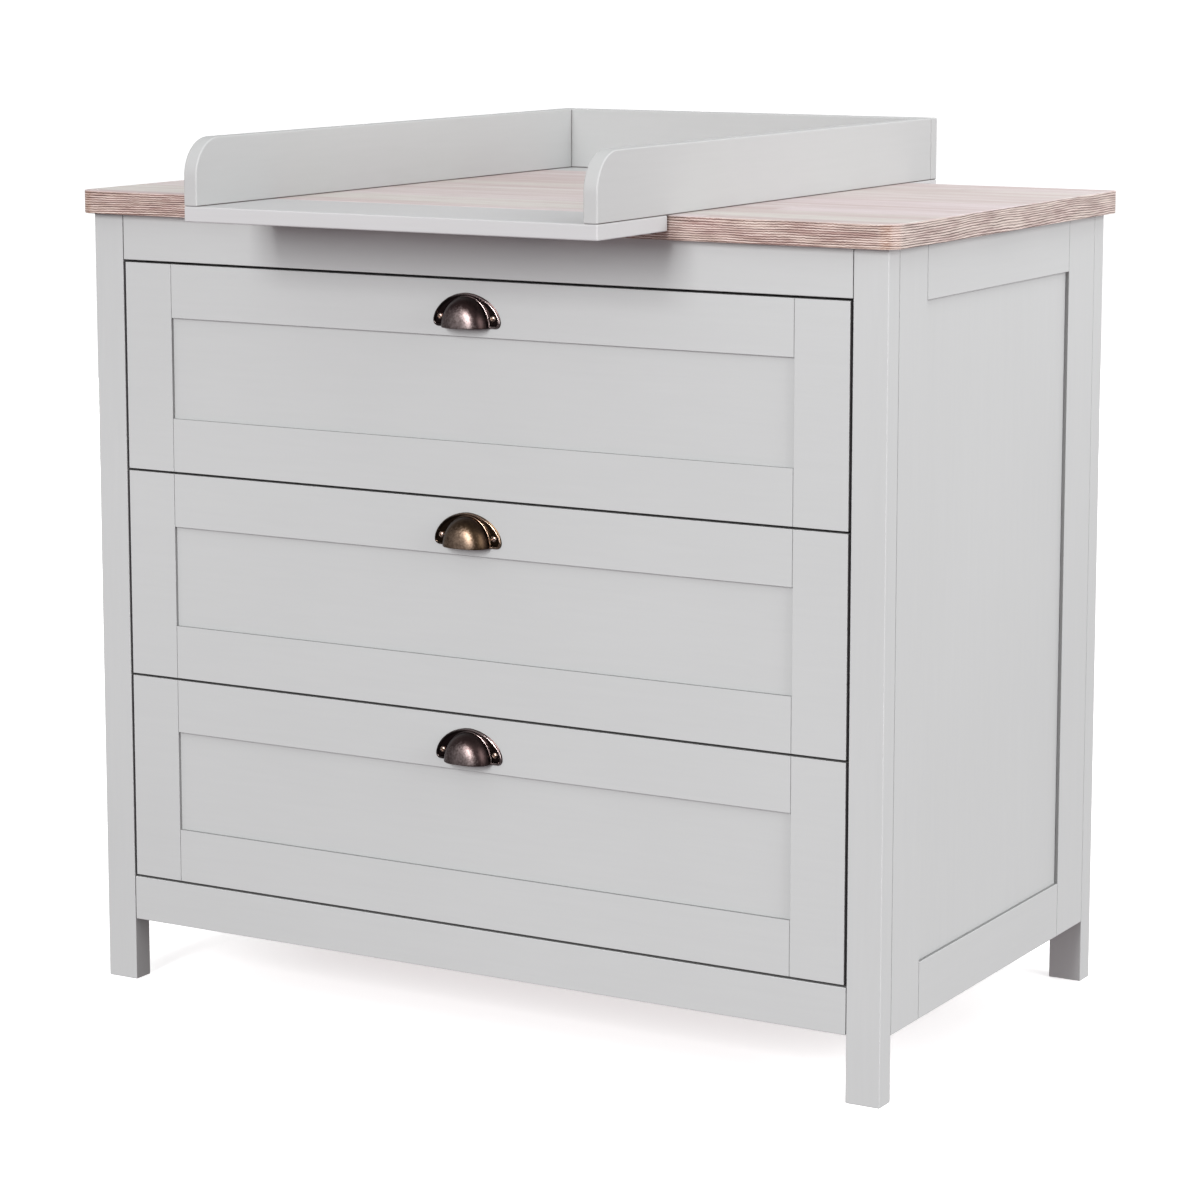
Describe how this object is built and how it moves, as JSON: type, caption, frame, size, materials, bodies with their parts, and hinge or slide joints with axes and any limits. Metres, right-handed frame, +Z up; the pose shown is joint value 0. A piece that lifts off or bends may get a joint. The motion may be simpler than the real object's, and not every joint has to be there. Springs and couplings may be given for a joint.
{
  "type": "changing table",
  "caption": "Nursery chest of inset drawers with cup pulls, panelled sides and an oak-look worktop that carries a lift-off changing tray.",
  "frame": {"origin": "centre of the whole object's footprint, on the floor", "axes": "+Z up, the drawers and pulls face -Y, +X to the right as the front is seen"},
  "size_m": [0.986, 0.775, 0.955],
  "materials": {
    "painted_frame": "light grey satin paint on smooth board",
    "painted_front": "light grey satin paint, score lines where stiles meet rails",
    "painted_tray": "light grey satin paint on smooth board",
    "oak_laminate": "whitewashed oak laminate, planks running left to right, grained edge band",
    "white_board": "off-white melamine-faced board with bare cut edges",
    "runner_steel": "zinc-plated rolled steel",
    "antique_pewter": "dark antique pewter, polished where hands rub it",
    "screw_nickel": "aged nickel-plated dome heads"
  },
  "bodies": {
    "chest": {"front_rail_top": "painted_frame", "front_rail_bottom": "painted_frame", "rear_rail_bottom": "painted_frame", "back_panel": "white_board", "worktop": "oak_laminate", "front_leg_left": "painted_frame", "rear_leg_left": "painted_frame", "side_stile_front_left": "painted_frame", "side_stile_rear_left": "painted_frame", "side_rail_bottom_left": "painted_frame", "side_rail_top_left": "painted_frame", "side_panel_left": "painted_frame", "front_leg_right": "painted_frame", "rear_leg_right": "painted_frame", "side_stile_front_right": "painted_frame", "side_stile_rear_right": "painted_frame", "side_rail_bottom_right": "painted_frame", "side_rail_top_right": "painted_frame", "side_panel_right": "painted_frame", "runner_chest_bottom_left": "runner_steel", "runner_chest_bottom_right": "runner_steel", "runner_chest_middle_left": "runner_steel", "runner_chest_middle_right": "runner_steel", "runner_chest_top_left": "runner_steel", "runner_chest_top_right": "runner_steel"},
    "bottom_drawer": {"drawer_front_bottom": "painted_front", "drawer_side_bottom_left": "white_board", "drawer_side_bottom_right": "white_board", "drawer_back_bottom": "white_board", "drawer_bottom_bottom": "white_board", "cup_pull_bottom": "antique_pewter", "pull_screw_bottom_left": "screw_nickel", "runner_drawer_bottom_left": "runner_steel", "pull_screw_bottom_right": "screw_nickel", "runner_drawer_bottom_right": "runner_steel"},
    "middle_drawer": {"drawer_front_middle": "painted_front", "drawer_side_middle_left": "white_board", "drawer_side_middle_right": "white_board", "drawer_back_middle": "white_board", "drawer_bottom_middle": "white_board", "cup_pull_middle": "antique_pewter", "pull_screw_middle_left": "screw_nickel", "runner_drawer_middle_left": "runner_steel", "pull_screw_middle_right": "screw_nickel", "runner_drawer_middle_right": "runner_steel"},
    "top_drawer": {"drawer_front_top": "painted_front", "drawer_side_top_left": "white_board", "drawer_side_top_right": "white_board", "drawer_back_top": "white_board", "drawer_bottom_top": "white_board", "cup_pull_top": "antique_pewter", "pull_screw_top_left": "screw_nickel", "runner_drawer_top_left": "runner_steel", "pull_screw_top_right": "screw_nickel", "runner_drawer_top_right": "runner_steel"},
    "changing_tray": {"tray_board_front": "painted_tray", "tray_board_rear": "painted_tray", "tray_wall_back": "painted_tray", "tray_wall_left": "painted_tray", "tray_wall_right": "painted_tray"}
  },
  "joints": [
    {"name": "bottom_drawer_slide", "type": "slide", "parent": "chest", "child": "bottom_drawer", "axis": [0, -1, 0], "range_m": [0, 0.34]},
    {"name": "middle_drawer_slide", "type": "slide", "parent": "chest", "child": "middle_drawer", "axis": [0, -1, 0], "range_m": [0, 0.34]},
    {"name": "top_drawer_slide", "type": "slide", "parent": "chest", "child": "top_drawer", "axis": [0, -1, 0], "range_m": [0, 0.34]},
    {"name": "changing_tray_lift", "type": "slide", "parent": "chest", "child": "changing_tray", "axis": [0, 0, 1], "range_m": [0, 0.12]}
  ]
}
